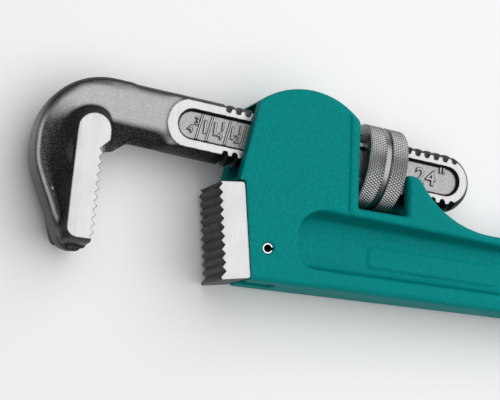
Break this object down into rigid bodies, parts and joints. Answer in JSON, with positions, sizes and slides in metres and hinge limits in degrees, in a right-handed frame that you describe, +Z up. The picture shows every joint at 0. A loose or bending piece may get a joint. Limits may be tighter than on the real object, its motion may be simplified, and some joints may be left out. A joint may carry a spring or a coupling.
{
  "type": "pipe wrench",
  "caption": "Heavy-duty straight pipe wrench lying on its side: hook jaw on a threaded shank, knurled adjusting nut, toothed heel jaw and I-beam handle with a hanging hole.",
  "frame": {"origin": "centre of the wrench's overall footprint, on the surface it lies on with the jaws set as shown", "axes": "+X along the handle towards its hanging end, +Y to the side of the hook jaw's shank, +Z up through the thickness of the tool, which lies on its side"},
  "size_m": [0.5808, 0.1, 0.0428],
  "materials": {
    "painted_casting": "satin, fine orange-peel paint over a sand casting",
    "forged_jaw": "grainy black-oxide forging with ground bright flats",
    "ground_jaw": "ground faces, blackened teeth",
    "knurled_steel": "blackened, diamond knurled with bright tips",
    "spring_steel": "oiled spring steel"
  },
  "bodies": {
    "handle": {"handle_frame": "painted_casting", "heel_jaw": "ground_jaw", "heel_jaw_pin": "spring_steel", "coil_spring": "spring_steel"},
    "rocker": {"flat_spring": "spring_steel"},
    "hook": {"hook_jaw": "forged_jaw"},
    "nut": {"adjusting_nut": "knurled_steel"}
  },
  "joints": [
    {"name": "hook_rock", "type": "hinge", "parent": "handle", "child": "rocker", "pos_m": [-0.1266, 0.01978, 0.0214], "axis": [0, 0, 1], "range_deg": [-1.5, 3], "stiffness_Nm_per_rad": 60, "deforming": ["coil_spring"]},
    {"name": "hook_slide", "type": "slide", "parent": "rocker", "child": "hook", "axis": [0.9985, -0.0541, 0], "range_m": [-0.027, 0.054]},
    {"name": "nut_spin", "type": "hinge", "parent": "rocker", "child": "nut", "pos_m": [-0.1266, 0.01978, 0.0214], "axis": [0.9985, -0.0541, 0], "range_deg": [-3831.8, 1918.4]}
  ],
  "couplings": [
    {"joint": "nut_spin", "follows": "hook_slide", "rad_per_m": -1236.8}
  ]
}
